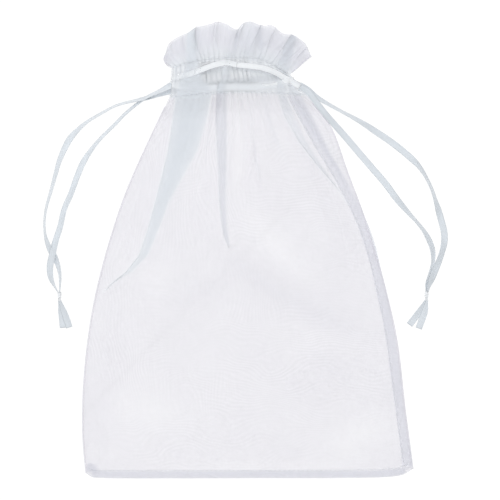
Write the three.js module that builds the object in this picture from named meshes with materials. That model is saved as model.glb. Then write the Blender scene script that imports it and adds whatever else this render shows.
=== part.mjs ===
// A sheer drawstring pouch that lies on its back: X runs across it, Y towards its mouth, Z up.
// The origin is in the middle of the bag, on the surface under it. Lengths are in millimetres.

import * as THREE from 'three';
import { mergeVertices } from 'three/addons/utils/BufferGeometryUtils.js';

// Driving dimensions.
const CLOTH = 0.6; // one cloth wall
const GAP = 0.3; // clearance between pieces that touch
const RIBBON_WIDTH = 4;
const RIBBON_THICKNESS = 0.4;
const CASING_HEIGHT = 3.6; // outside of a casing, measured up from its own underside
const CASING_FLOOR = 0.7; // underside of the back casing, over its stitching
const MOUTH_GAPE = 6.2; // how far the front casing lifts off the back one at mid neck
const RIGHT_ALLOWANCE = 7; // width of the seam allowance inside the right edge
const BOTTOM_ALLOWANCE = 4.5;
const LEFT_FOLD = 1.4;
const THREAD_WIDTH = 0.7;
const THREAD_HEIGHT = 0.35;
const CASING_STEPS = 20;
const FEED_STEPS = 8; // how much of each strand is still in the casing and comes out when it is pulled
const TURN_STEPS = 6; // steps of a ribbon's turn past the casing's far end
const TURN_CLEARANCE = 0.6;
const LOOP_START = 0.1; // a ribbon's closed end starts this part of a step past its strands
const RESTING_LIFT = 0.2; // clearance under what lies on the floor
const SLEEVE_SIDE = 0.03; // outside of a casing's sleeve, as a share of the casing's width from either edge
const SLEEVE_WALL = 0.07; // inside of its side walls, in the same way
const SIDE_SEAM_TOP = 0.991; // the side seams' end, as a share of the leaf's length
const SEAM_END_GAP = 0.004; // between the bottom seam and the side seams, as a share of the leaf's width
const BACK_STITCH_FLOOR = 0.05;
const STITCH_INSET = 0.5;
const STITCH_ROW_WIDTH = 0.04; // as a share of the casing's width
const STITCH_ROWS = { upper: 0.88, lower: 0.08 }; // where they lie across the casing
const SIDE_STITCH_SPAN = [0.04, 0.94]; // as shares of the leaf's length
const BOTTOM_STITCH_SPAN = [1 / 30, 28 / 30]; // as shares of the leaf's width

// Heights that follow from them.
const SEAM_FLOOR = CLOTH + GAP;
const SEAM_HEIGHT = 2 * CLOTH;
const FRONT_EDGE = SEAM_FLOOR + SEAM_HEIGHT + GAP; // underside of the front leaf along its edges
const CHANNEL_MIDDLE = CASING_HEIGHT / 2;
const FRONT_CASING_FLOOR = CASING_FLOOR + CASING_HEIGHT + GAP;
const RIBBON_STACK = RIBBON_THICKNESS; // each ribbon lies this far above or below mid channel
const FLOOR_LAY = RIBBON_THICKNESS / 2 + RESTING_LIFT;
const CROSSING = FLOOR_LAY + 0.9; // a ribbon where it passes over another

// How far the front leaf stands off its edges, at the bottom seam and from mid length to the neck.
const PUFF_BOTTOM = 1.2;
const PUFF_NECK = 7.6;
const PUFF_FULL_AT = 0.42;
const PLEATS = 6;
const PLEAT_DEPTH = 0.7;
const RUFFLE_WAVES = 4.5;
const RUFFLE_FLARE = 3;
const RUFFLE_WAVE = 1.6;

// The outline, from the bottom corners up to the neck, across the casing and round the ruffle.
const LEFT_EDGE = [
  [-98.4, -135.2], [-100.3, -112], [-99.4, -75], [-92.6, -27], [-76, 30.5], [-58.8, 70], [-47.6, 93],
];
const RIGHT_EDGE = [
  [100.2, -132.6], [95.5, -97], [89.6, -50], [74.4, 9], [60.4, 48], [49.5, 76.5], [35, 94.5],
];
const BOTTOM_EDGE = [
  [-98.4, -135.2], [-94.8, -137.6], [-88, -138.2], [0, -138.3], [84, -137.6], [94, -136.2], [100.2, -132.6],
];
const CASING_LOW = [[-47.6, 93], [-30, 94.4], [-8, 95.6], [14, 95.4], [35, 94.5]];
const CASING_HIGH = [[-46.4, 110.5], [-30, 114.6], [-8, 116.3], [10, 114.9], [27, 108.2]];
const RUFFLE_LOW = [[-46.6, 111.4], [-30, 115.5], [-8, 117.2], [10, 115.8], [27.6, 109.2]];
const RUFFLE_HIGH = [
  [-50.6, 119.5], [-47, 127.5], [-35.5, 134], [-18, 137.6], [-6, 133.6], [1.5, 138.2], [14.5, 136.2],
  [26, 130], [34, 126], [38.3, 117],
];

// Ribbon strands outside the casings, each from its exit to its knot, with heights.
const LEFT_FRONT_ROUTE = [
  [-53.6, 96.6, 3.3], [-62, 92.7, 1.6], [-73.2, 84.2, 0.7], [-81.1, 76.3, 0.4], [-89.7, 67.8, 0.4],
  [-95.6, 60.5, 0.4], [-100.3, 53.2, 0.4], [-104, 44.4, 0.4], [-107.6, 34.4, 0.4], [-111.6, 25.2, 0.5],
  [-114.1, 14.5, 0.9], [-117, 5.2, CROSSING], [-118.7, -2, CROSSING], [-120.2, -9.2, CROSSING],
  [-119.8, -16.4, CROSSING], [-117.6, -21.4, CROSSING], [-115, -25.2, CROSSING],
];
const LEFT_BACK_ROUTE = [
  [-54.7, 94.3, 0.9], [-62, 92.4, 0.4], [-69.9, 90.7, 0.4], [-79.8, 88.1, 0.4], [-89.7, 82.9, 0.4],
  [-97.6, 78.2, 0.4], [-104, 72.6, 0.4], [-108.4, 67.6, 0.4], [-111.6, 61.6, 0.4], [-114.6, 54.4, 0.4],
  [-117.3, 44.7, 0.4], [-119.7, 35.8, 0.4], [-122.3, 26.7, 0.4], [-123.6, 17.6, 0.4],
  [-123.2, 9.9, 0.4], [-121.4, 3.4, 0.4], [-118.7, -2, 0.4], [-115.7, -8.2, 0.4], [-114.2, -14.9, 0.4],
  [-114.1, -20.4, 0.4], [-114.2, -25.2, 0.4],
];
const RIGHT_FRONT_ROUTE = [
  [36.2, 97.6, 5.2], [39.8, 92.4, 5.1], [46.2, 83.6, 4.6], [52.9, 76, 2.6], [60.2, 67.9, 1],
  [67.7, 59.1, 0.4], [75.6, 49.9, 0.4],
  [83.5, 40.7, 0.4], [90.6, 31, 0.4], [97.2, 23.1, 0.4], [102.6, 17.1, 0.4], [106.9, 11.7, 0.4],
  [110.2, 5.8, 0.4], [112.1, 0.3, 0.4], [112.4, -6.2, 0.4], [111.3, -11.6, 0.4], [109.7, -17.1, 0.4],
  [108.7, -21, 0.4], [108.5, -24.8, 0.4],
];
const RIGHT_BACK_ROUTE = [
  [36.4, 97.4, 2], [41, 93.6, 1.5], [47.8, 89.4, 0.9], [57.6, 84, 0.4], [67.9, 78.4, 0.4], [78.3, 71.8, 0.4],
  [87.6, 65.5, 0.4], [96.7, 58.2, 0.4], [103.4, 51.6, 0.4], [108, 44.7, 0.4], [111.6, 37.2, 0.4],
  [113.9, 30.2, 0.4], [115.9, 23.7, 0.4], [117.8, 17.1, 0.4], [119.2, 11.2, 0.5], [119.3, 5.4, 0.8],
  [118.1, -0.2, CROSSING], [116.1, -6.2, CROSSING], [113.9, -11.6, CROSSING], [111.7, -17.1, CROSSING],
  [110.1, -21, CROSSING], [109, -24.8, CROSSING],
];
const LEFT_KNOT = [-114.4, -28.6];
const RIGHT_KNOT = [108.4, -28.2];
const KNOT_RING = 1.55;
const KNOT_CORD = 0.6;
const LEFT_TAILS = [
  [[-114.7, -32, 0.4], [-114.3, -37, 0.4], [-113.2, -42, 0.4], [-112.4, -46.9, 0.4]],
  [[-113.5, -32, 1.1], [-112.4, -37, 1.1], [-110.4, -42, 1.1], [-108.3, -46.9, 1.1]],
];
const RIGHT_TAILS = [
  [[107.6, -31.6, 0.4], [104.6, -36.2, 0.4], [101.2, -40.8, 0.4], [98, -45.3, 0.4]],
  [[108.6, -31.6, 1.1], [107.4, -37, 1.1], [105.6, -42.3, 1.1], [103.7, -47.5, 1.1]],
];

const organza = new THREE.MeshStandardMaterial({ color: 0xeef0f6, roughness: 0.55, metalness: 0 });
const doubledOrganza = new THREE.MeshStandardMaterial({ color: 0xdfe3ea, roughness: 0.55, metalness: 0 });
const satin = new THREE.MeshStandardMaterial({ color: 0xe2e9f2, roughness: 0.3, metalness: 0 });
const thread = new THREE.MeshStandardMaterial({ color: 0xf2f4f8, roughness: 0.7, metalness: 0 });

const UP = new THREE.Vector3(0, 0, 1);
const DOWN = new THREE.Vector3(0, 0, -1);
const group = new THREE.Group();

function add(name, geometry, material) {
  const mesh = new THREE.Mesh(geometry, material);
  mesh.name = name;
  group.add(mesh);
  return mesh;
}

function curveThrough(points) {
  const places = points.map(([x, y, z = 0]) => new THREE.Vector3(x, y, z));
  return new THREE.CatmullRomCurve3(places, false, 'centripetal');
}

function smoothStep(value) {
  const held = Math.min(Math.max(value, 0), 1);
  return held * held * (3 - 2 * held);
}

// A function (u, t) to a place inside four edges: u runs left to right and t from low to high.
function insideEdges(low, high, left, right) {
  const corners = [low.getPoint(0), low.getPoint(1), high.getPoint(0), high.getPoint(1)];
  return (u, t) => {
    const place = low.getPointAt(u).multiplyScalar(1 - t);
    place.addScaledVector(high.getPointAt(u), t);
    place.addScaledVector(left.getPointAt(t), 1 - u);
    place.addScaledVector(right.getPointAt(t), u);
    place.addScaledVector(corners[0], -(1 - u) * (1 - t));
    place.addScaledVector(corners[1], -u * (1 - t));
    place.addScaledVector(corners[2], -(1 - u) * t);
    place.addScaledVector(corners[3], -u * t);
    return place;
  };
}

function straightEdge(low, high, end) {
  return new THREE.LineCurve3(low.getPoint(end), high.getPoint(end));
}

// Moves every vertex of a three.js geometry to where map says, as one closed surface.
function reshape(geometry, map) {
  geometry.deleteAttribute('uv');
  geometry.deleteAttribute('normal');
  const closed = mergeVertices(geometry);
  const position = closed.attributes.position;
  for (let i = 0; i < position.count; i += 1) {
    const place = map(position.getX(i), position.getY(i), position.getZ(i));
    position.setXYZ(i, place.x, place.y, place.z);
  }
  closed.computeVertexNormals();
  return closed;
}

// A cloth wall laid over part of a surface, with its underside at height(u, t).
function clothWall(surface, height, { across, along, from = [0, 0], to = [1, 1], thickness = CLOTH }) {
  const flat = new THREE.BoxGeometry(1, 1, 1, across, along, 1);
  return reshape(flat, (x, y, z) => {
    const t = from[1] + (to[1] - from[1]) * (y + 0.5);
    const uStart = typeof from[0] === 'function' ? from[0](t) : from[0];
    const uEnd = typeof to[0] === 'function' ? to[0](t) : to[0];
    const u = uStart + (uEnd - uStart) * (x + 0.5);
    const place = surface(u, t);
    place.z = height(u, t) + thickness * (z + 0.5);
    return place;
  });
}

// A flat sleeve along the neck, open at both ends.
function sleeve(surface, floorAt) {
  const outer = new THREE.Shape();
  outer.moveTo(SLEEVE_SIDE, 0);
  outer.lineTo(1 - SLEEVE_SIDE, 0);
  outer.lineTo(1 - SLEEVE_SIDE, CASING_HEIGHT);
  outer.lineTo(SLEEVE_SIDE, CASING_HEIGHT);
  const channel = new THREE.Path();
  channel.moveTo(SLEEVE_WALL, CLOTH);
  channel.lineTo(SLEEVE_WALL, CASING_HEIGHT - CLOTH);
  channel.lineTo(1 - SLEEVE_WALL, CASING_HEIGHT - CLOTH);
  channel.lineTo(1 - SLEEVE_WALL, CLOTH);
  outer.holes.push(channel);
  const straight = new THREE.ExtrudeGeometry(outer, { depth: 1, steps: CASING_STEPS, bevelEnabled: false });
  return reshape(straight, (t, height, u) => {
    const place = surface(u, t);
    place.z = floorAt(u) + height;
    return place;
  });
}

// A flat ribbon through stations. Each has its place, and across is the way its width runs: if that isn't set
// the ribbon lies level there, face down after it has turned over.
function ribbon(stations) {
  const steps = stations.length - 1;
  const straight = new THREE.BoxGeometry(1, 1, 1, 1, steps, 1);
  const frames = stations.map(({ place, across: given, underside }, index) => {
    const before = stations[Math.max(index - 1, 0)].place;
    const after = stations[Math.min(index + 1, steps)].place;
    const way = after.clone().sub(before).normalize();
    const across = given || way.clone().cross(underside ? DOWN : UP).normalize();
    const face = across.clone().cross(way).normalize();
    return { place, across, face };
  });
  return reshape(straight, (x, y, z) => {
    const { place, across, face } = frames[Math.round((y + 0.5) * steps)];
    const corner = place.clone().addScaledVector(across, x * RIBBON_WIDTH);
    return corner.addScaledVector(face, z * RIBBON_THICKNESS);
  });
}

const bottomEdge = curveThrough(BOTTOM_EDGE);
const leftEdge = curveThrough(LEFT_EDGE);
const rightEdge = curveThrough(RIGHT_EDGE);
const casingLow = curveThrough(CASING_LOW);
const casingHigh = curveThrough(CASING_HIGH);
const ruffleLow = curveThrough(RUFFLE_LOW);
const ruffleHigh = curveThrough(RUFFLE_HIGH);

const leafSurface = insideEdges(bottomEdge, casingLow, leftEdge, rightEdge);
const casingSurface = insideEdges(
  casingLow, casingHigh, straightEdge(casingLow, casingHigh, 0), straightEdge(casingLow, casingHigh, 1),
);
const ruffleSurface = insideEdges(
  ruffleLow, ruffleHigh, straightEdge(ruffleLow, ruffleHigh, 0), straightEdge(ruffleLow, ruffleHigh, 1),
);

function leafWidth(t) {
  return leftEdge.getPointAt(t).distanceTo(rightEdge.getPointAt(t));
}

function frontLeafUnderside(u, t) {
  const arch = Math.sin(Math.PI * u);
  const puff = PUFF_BOTTOM + (PUFF_NECK - PUFF_BOTTOM) * smoothStep(t / PUFF_FULL_AT);
  const pleat = PLEAT_DEPTH * t * t * Math.cos(2 * Math.PI * PLEATS * u);
  return FRONT_EDGE + arch * (puff + pleat);
}

function frontCasingUnderside(u) {
  return FRONT_CASING_FLOOR + MOUTH_GAPE * Math.sin(Math.PI * u) ** 1.5;
}

function backCasingUnderside() {
  return CASING_FLOOR;
}

function frontRuffleUnderside(u, t) {
  const wave = RUFFLE_WAVE * t * Math.sin(2 * Math.PI * RUFFLE_WAVES * u);
  return frontCasingUnderside(u) + CLOTH + RUFFLE_FLARE * t + wave;
}

function backRuffleUnderside(u, t) {
  return 0.3 + 0.9 * t * (1 + Math.sin(2 * Math.PI * RUFFLE_WAVES * u + 1));
}

function addCloth() {
  add('back_panel', clothWall(leafSurface, () => 0, { across: 12, along: 14 }), organza);
  add('front_panel', clothWall(leafSurface, frontLeafUnderside, { across: 30, along: 16 }), organza);
  const ruffleSteps = { across: 26, along: 4 };
  add('front_ruffle', clothWall(ruffleSurface, frontRuffleUnderside, ruffleSteps), doubledOrganza);
  add('back_ruffle', clothWall(ruffleSurface, backRuffleUnderside, ruffleSteps), doubledOrganza);
  add('front_casing', sleeve(casingSurface, frontCasingUnderside), doubledOrganza);
  add('back_casing', sleeve(casingSurface, backCasingUnderside), doubledOrganza);
}

// The strips of cloth between the two leaves, along their edges.
function addSeams() {
  const seamFloor = () => SEAM_FLOOR;
  add('left_fold_edge', clothWall(leafSurface, seamFloor, {
    across: 1, along: 16, from: [0, 0], to: [(t) => LEFT_FOLD / leafWidth(t), SIDE_SEAM_TOP],
    thickness: SEAM_HEIGHT,
  }), doubledOrganza);
  add('right_seam_allowance', clothWall(leafSurface, seamFloor, {
    across: 2, along: 16, from: [(t) => 1 - RIGHT_ALLOWANCE / leafWidth(t), 0], to: [1, SIDE_SEAM_TOP],
    thickness: SEAM_HEIGHT,
  }), doubledOrganza);
  const bottomEnds = [LEFT_FOLD + GAP, RIGHT_ALLOWANCE + GAP].map((inset) => inset / leafWidth(0));
  add('bottom_seam_allowance', clothWall(leafSurface, seamFloor, {
    across: 14, along: 1, from: [bottomEnds[0] + SEAM_END_GAP, 0],
    to: [1 - bottomEnds[1] - SEAM_END_GAP, BOTTOM_ALLOWANCE / leftEdge.getLength()], thickness: SEAM_HEIGHT,
  }), doubledOrganza);
}

// Rows of thread: along the casing's two edges, and along the two seams on the front leaf.
function addStitching() {
  const sides = {
    front: (u) => frontCasingUnderside(u) + CASING_HEIGHT + GAP,
    back: () => BACK_STITCH_FLOOR,
  };
  for (const [side, heightAt] of Object.entries(sides)) {
    for (const [row, t] of Object.entries(STITCH_ROWS)) {
      add(`${side}_casing_${row}_stitching`, clothWall(casingSurface, heightAt, {
        across: CASING_STEPS, along: 1, from: [0, t], to: [1, t + STITCH_ROW_WIDTH], thickness: THREAD_HEIGHT,
      }), thread);
    }
  }
  const overLeaf = (u, t) => frontLeafUnderside(u, t) + CLOTH + GAP;
  const seamLine = (t, inset) => 1 - (RIGHT_ALLOWANCE - inset) / leafWidth(t);
  add('right_seam_stitching', clothWall(leafSurface, overLeaf, {
    across: 1, along: 32, from: [(t) => seamLine(t, STITCH_INSET), SIDE_STITCH_SPAN[0]],
    to: [(t) => seamLine(t, STITCH_INSET + THREAD_WIDTH), SIDE_STITCH_SPAN[1]], thickness: THREAD_HEIGHT,
  }), thread);
  const length = leftEdge.getLength();
  add('bottom_seam_stitching', clothWall(leafSurface, overLeaf, {
    across: 30, along: 1, from: [BOTTOM_STITCH_SPAN[0], BOTTOM_ALLOWANCE / length],
    to: [BOTTOM_STITCH_SPAN[1], (BOTTOM_ALLOWANCE + THREAD_WIDTH) / length], thickness: THREAD_HEIGHT,
  }), thread);
}

// Where each ribbon runs across the casing, from low (0) to high (1), at u along it.
const lanes = {
  left_front: (u) => 0.34 - 0.11 * smoothStep(u / 0.3) + 0.49 * smoothStep((u - 0.5) / 0.5),
  left_back: (u) => 0.24 + 0.47 * smoothStep((u - 0.4) / 0.6),
  right_front: (u) => 0.77 - 0.07 * (1 - smoothStep(u / 0.45)) - 0.39 * smoothStep((u - 0.45) / 0.55),
  right_back: (u) => 0.74 - 0.36 * smoothStep((u - 0.4) / 0.6),
};
const layers = {
  front: (u) => frontCasingUnderside(u) + CHANNEL_MIDDLE,
  back: (u) => backCasingUnderside(u) + CHANNEL_MIDDLE,
};
const stack = { left: -RIBBON_STACK, right: RIBBON_STACK };

function inCasing(hand, side, u) {
  const place = casingSurface(u, lanes[`${hand}_${side}`](u));
  place.z = layers[side](u) + stack[hand];
  return { place };
}

// The stations along the casing from one of its steps to another, in either direction.
function casingRun(hand, side, first, last) {
  const way = Math.sign(last - first);
  const stations = [];
  for (let step = first; step !== last + way; step += way) {
    stations.push(inCasing(hand, side, step / CASING_STEPS));
  }
  return stations;
}

function asStations(route) {
  return route.map(([x, y, z]) => ({ place: new THREE.Vector3(x, y, z) }));
}

// A ribbon's closed end: through the front casing, round the far end of the neck and back.
function addCasingLoop(hand) {
  const start = hand === 'left' ? FEED_STEPS : CASING_STEPS - FEED_STEPS;
  const end = hand === 'left' ? CASING_STEPS : 0;
  const outward = Math.sign(end - start);
  const meeting = (start + outward * LOOP_START) / CASING_STEPS;
  const front = casingRun(hand, 'front', start + outward, end);
  const back = casingRun(hand, 'back', end, start + outward);
  const across = new THREE.Vector3(0, -outward, 0);
  const upper = front[front.length - 1].place;
  const lower = back[0].place;
  const radius = (upper.z - lower.z) / 2;
  const turn = [];
  for (let step = 0; step <= TURN_STEPS; step += 1) {
    const angle = Math.PI * (step / TURN_STEPS);
    const place = upper.clone().lerp(lower, step / TURN_STEPS);
    place.x += outward * (TURN_CLEARANCE + radius * Math.sin(angle));
    place.z = lower.z + radius * (1 + Math.cos(angle));
    turn.push({ place, across });
  }
  front.unshift(inCasing(hand, 'front', meeting));
  back.push(inCasing(hand, 'back', meeting));
  back.forEach((station) => {
    station.underside = true;
  });
  add(`${hand}_drawstring_loop`, ribbon([...front, ...turn, ...back]), satin);
}

function addStrand(hand, side, route) {
  const deep = hand === 'left' ? FEED_STEPS : CASING_STEPS - FEED_STEPS;
  const exit = hand === 'left' ? 0 : CASING_STEPS;
  const fed = casingRun(hand, side, deep, exit);
  add(`${hand}_${side}_strand`, ribbon([...fed, ...asStations(route)]), satin);
}

function addKnot(hand, [x, y]) {
  const knot = new THREE.TorusKnotGeometry(KNOT_RING, KNOT_CORD, 36, 8, 2, 3);
  const lift = KNOT_RING / 2 + KNOT_CORD + RESTING_LIFT;
  add(`${hand}_knot`, reshape(knot, (dx, dy, dz) => new THREE.Vector3(x + dx, y + dy, lift + dz)), satin);
}

function addTails(hand, tails) {
  const names = ['back', 'front'];
  tails.forEach((route, index) => {
    add(`${hand}_${names[index]}_tail`, ribbon(asStations(route)), satin);
  });
}

addCloth();
addSeams();
addStitching();
addCasingLoop('left');
addCasingLoop('right');
addStrand('left', 'front', LEFT_FRONT_ROUTE);
addStrand('left', 'back', LEFT_BACK_ROUTE);
addStrand('right', 'front', RIGHT_FRONT_ROUTE);
addStrand('right', 'back', RIGHT_BACK_ROUTE);
addKnot('left', LEFT_KNOT);
addKnot('right', RIGHT_KNOT);
addTails('left', LEFT_TAILS);
addTails('right', RIGHT_TAILS);

export default group;
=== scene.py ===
import math

import bpy
import numpy as np
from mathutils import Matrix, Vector
from mathutils.bvhtree import BVHTree


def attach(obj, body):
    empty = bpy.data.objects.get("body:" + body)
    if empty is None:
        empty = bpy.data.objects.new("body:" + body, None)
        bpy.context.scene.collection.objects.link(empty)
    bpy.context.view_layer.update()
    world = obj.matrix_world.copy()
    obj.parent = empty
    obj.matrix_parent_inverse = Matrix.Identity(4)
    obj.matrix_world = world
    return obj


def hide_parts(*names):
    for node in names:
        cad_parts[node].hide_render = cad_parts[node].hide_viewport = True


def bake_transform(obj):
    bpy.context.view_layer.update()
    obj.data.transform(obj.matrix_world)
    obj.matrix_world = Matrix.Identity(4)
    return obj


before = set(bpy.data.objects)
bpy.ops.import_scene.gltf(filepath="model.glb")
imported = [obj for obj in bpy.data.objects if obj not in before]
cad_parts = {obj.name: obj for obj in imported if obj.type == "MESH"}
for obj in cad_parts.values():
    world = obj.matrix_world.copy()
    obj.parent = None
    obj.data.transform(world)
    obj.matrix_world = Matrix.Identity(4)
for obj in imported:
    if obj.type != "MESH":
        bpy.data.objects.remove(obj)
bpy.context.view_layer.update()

# Lengths below are in millimetres, in the frame, and become metres when a mesh is made.
MM = 0.001
TINY = 1e-9
UP = np.array([0.0, 0.0, 1.0])
ALL = slice(None)

# The bag as it was cut: two leaves of one width, each folded over at the top into a facing.
LEAF_WIDTH = 200.0
BODY_LENGTH = 236.0
CASING_LENGTH = 19.0
RUFFLE_LENGTH = 23.0

# The grid of a leaf: its columns, the one where its halves meet, and its rows by zone.
LEAF_COLUMNS = 340
COLUMN_SPLIT = 150
BODY_ROWS = 150
CASING_ROWS = 18
RUFFLE_ROWS = 20
BODY_END = BODY_ROWS
CASING_END = BODY_END + CASING_ROWS
RUFFLE_END = CASING_END + RUFFLE_ROWS

# Ribbons: their section, how far apart their rings are, and how they are drawn together at the knots.
RIBBON_WIDTH = 4.0
RIBBON_THICKNESS = 0.22
RIBBON_CUP = 0.10
RIBBON_CLEARANCE = 0.08
RIBBON_STEP = 0.9
TAIL_STEP = 0.7
PINCH = 0.62
PINCH_REACH = 5.0
TWIST_WAY = {"left": -1.0, "right": 1.0}

# The loops inside the casings, narrower because the casing crumples them.
LOOP_WIDTH = 3.4
LOOP_STEP = 0.7
TURN_BULGE = 2.2

# The knots: a coil of the doubled ribbon round itself.
KNOT_RADIUS = 0.95
KNOT_HEIGHT = 1.5
KNOT_BAND = 1.7
KNOT_TURNS = 2.25
KNOT_ABOVE = 3.0
KNOT_BELOW = 2.4

# Stitches: their size, and the height under which a row is on the bag's lower side and dips upward.
THREAD_RADIUS = 0.14
THREAD_CLEARANCE = 0.04
STITCH = 2.1
STITCH_GAP = 0.7
STITCH_DIP = 0.16
STITCH_SIDES = 6
STITCH_TURN = 1.2
ABOVE_ALL = 50.0

# Fine detail in metres: the pitch of the organza's threads, and of the satin's floats and picks.
WEAVE_PITCH = 0.00056
FLOAT_PITCH = 0.00032
PICK_PITCH = 0.00045

# How much denser steep cloth may look, in the body and in the header, and how far its sides are evened out.
STEEPEST = 1e-3
THICKEST = 1.7
HEADER_THICKEST = 1.1
HEADER_FUZZ = 2.0

# The outline, as the CAD leaves, casings and ruffles have it.
LEFT_EDGE = [
    (-98.4, -135.2), (-100.3, -112), (-99.4, -75), (-92.6, -27), (-76, 30.5), (-58.8, 70), (-47.6, 93),
]
RIGHT_EDGE = [
    (100.2, -132.6), (95.5, -97), (89.6, -50), (74.4, 9), (60.4, 48), (49.5, 76.5), (35, 94.5),
]
BOTTOM_EDGE = [
    (-98.4, -135.2), (-94.8, -137.6), (-88, -138.2), (0, -138.3), (84, -137.6), (94, -136.2), (100.2, -132.6),
]
CASING_LOW = [(-47.6, 93), (-30, 94.4), (-8, 95.6), (14, 95.4), (35, 94.5)]
CASING_HIGH = [(-46.2, 110.8), (-30, 114.9), (-8, 116.6), (9, 115.2), (25, 106.8)]
RUFFLE_HIGH = [
    (-50.4, 118.2), (-47.8, 124.9), (-43.6, 128.7), (-37.5, 130.9), (-31.5, 134.8), (-24.6, 136.3),
    (-17, 137.9), (-12.5, 136.4), (-8.7, 134.1), (-6, 133.4), (-4.1, 136.1), (0.5, 138.3), (6.5, 136.4),
    (10.3, 135.6), (13.8, 136.3), (17.2, 134.1), (21.3, 131.4), (27.8, 129.9), (33.9, 126.1), (38.4, 117.4),
]
RUFFLE_LEFT = [(-46.2, 110.8), (-49.4, 112.8), (-50.9, 116), (-50.4, 118.2)]

# Ribbon strands from the casing to the knot: x, y, the height of the middle, and the twist in degrees.
STRANDS = {
    "left": {
        "front": [
            (-46.2, 100.2, 6.6, 10), (-53.6, 96.6, 3.6, 50), (-62, 92.7, 2.2, 62), (-73.2, 84.2, 1.6, 62),
            (-81.1, 76.3, 1.2, 60), (-89.7, 67.8, 1, 58), (-95.6, 60.5, 0.8, 46), (-100.3, 53.2, 0.4, 25),
            (-104, 44.4, 0.4, 28), (-107.6, 34.4, 0.4, 32), (-111.6, 25.2, 0.5, 34), (-114.1, 14.5, 1.4, 30),
            (-117, 5.2, 2.1, 22), (-118.7, -2, 2.2, 10), (-120.2, -9.2, 1.9, 8), (-119.8, -16.4, 1.7, 36),
            (-117.6, -21.4, 1.8, 62), (-115.2, -25.6, 1.9, 74),
        ],
        "back": [
            (-46.6, 97.2, 2.5, 10), (-54.7, 94.3, 1.4, 55), (-62, 92.4, 0.6, 50), (-69.9, 90.7, 1, 66),
            (-79.8, 88.1, 1, 68), (-89.7, 82.9, 1, 66), (-97.6, 78.2, 1, 60), (-104, 72.6, 0.8, 42),
            (-108.4, 67.6, 0.4, 18), (-111.6, 61.6, 0.4, 26), (-114.6, 54.4, 0.4, 42),
            (-117.3, 44.7, 0.4, 52), (-119.7, 35.8, 0.4, 60), (-122.3, 26.7, 0.7, 66), (-123.6, 17.6, 1, 70),
            (-123.2, 9.9, 0.8, 66), (-121.4, 3.4, 0.5, 42), (-118.7, -2, 0.4, 10), (-115.7, -8.2, 0.4, 42),
            (-114.2, -14.9, 0.7, 62), (-114.1, -20.4, 0.8, 68), (-114.4, -25.6, 0.8, 72),
        ],
    },
    "right": {
        "front": [
            (31.4, 99.2, 6.2, 10), (36.2, 96.2, 5.4, 15), (39.8, 91.8, 5.1, 20), (46.2, 83.6, 4.6, 20),
            (52.9, 76, 2.6, 15), (60.2, 67.9, 1, 0), (67.7, 59.1, 0.4, 0), (75.6, 49.9, 0.4, 0),
            (83.5, 40.7, 0.4, 0), (90.6, 31, 0.5, 20), (97.2, 23.1, 0.8, 48), (102.6, 17.1, 1, 60),
            (106.9, 11.7, 0.8, 52), (110.2, 5.8, 0.5, 35), (112.1, 0.3, 0.5, 40), (112.4, -6.2, 0.8, 55),
            (111.3, -11.6, 1, 58), (109.7, -17.1, 0.8, 50), (108.7, -21, 0.7, 40), (108.5, -25, 0.7, 30),
        ],
        "back": [
            (31.2, 100.3, 2.6, 0), (36.4, 97.4, 2, 20), (41, 93.6, 1.5, 40), (47.8, 89.4, 0.9, 55),
            (57.6, 84, 0.9, 60), (67.9, 78.4, 0.7, 45), (78.3, 71.8, 0.4, 15), (87.6, 65.5, 0.4, 0),
            (96.7, 58.2, 0.4, 0), (103.4, 51.6, 0.6, 40), (108, 44.7, 0.9, 58), (111.6, 37.2, 0.9, 60),
            (113.9, 30.2, 0.8, 52), (115.9, 23.7, 0.5, 20), (117.8, 17.1, 0.4, 0), (119.2, 11.2, 0.5, 0),
            (119.3, 5.4, 0.8, 12), (118.1, -0.2, 1.3, 30), (116.1, -6.2, 1.4, 25), (113.9, -11.6, 1.3, 10),
            (111.7, -17.1, 1.3, 20), (110.1, -21, 1.4, 35), (109, -25, 1.4, 30),
        ],
    },
}
KNOTS = {"left": (-114.5, -28.3), "right": (108.5, -28.0)}
TAILS = {
    "left": {
        "back": [
            (-114.8, -30.2, 0.7, 24), (-113.9, -35, 0.5, 16), (-113, -41, 0.4, 8), (-112.4, -47, 0.4, 0),
        ],
        "front": [
            (-114.2, -30.2, 1.4, -24), (-112.3, -36, 1.3, -16), (-110.1, -42, 1.1, -10),
            (-108.6, -46.8, 0.9, -6),
        ],
    },
    "right": {
        "back": [
            (108, -30.2, 0.7, 20), (105, -35.8, 0.5, 14), (101.4, -40.9, 0.4, 8), (98.1, -45.2, 0.4, 0),
        ],
        "front": [
            (108.8, -30.2, 1.3, -20), (107.6, -36.6, 1.1, -14), (105.6, -42.3, 0.9, -8),
            (103.7, -47.4, 0.6, 0),
        ],
    },
}

# Runs of the ribbons inside the front and the back casing, in plan.
LEFT_LOOP_FRONT = [
    (-46.2, 100.2), (-38, 98.8), (-24, 98.2), (-8, 98.8), (8, 98.6), (18, 100.2), (25.5, 103.2),
]
LEFT_LOOP_BACK = [(-46.6, 97.2), (-36, 98.6), (-20, 101), (-4, 103), (12, 104.6), (25.5, 103.6)]
RIGHT_LOOP_FRONT = [
    (31.4, 99.2), (23.1, 103.9), (15.8, 107.9), (8.5, 110.3), (1.2, 111.3), (-6.1, 112), (-13.4, 113.3),
    (-20.7, 111.9), (-28, 109.3), (-35.3, 106.8), (-44.5, 104.8),
]
RIGHT_LOOP_BACK = [(31.2, 100.3), (22, 104.8), (8, 109), (-8, 110.4), (-26, 108.6), (-44.5, 105.2)]

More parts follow.
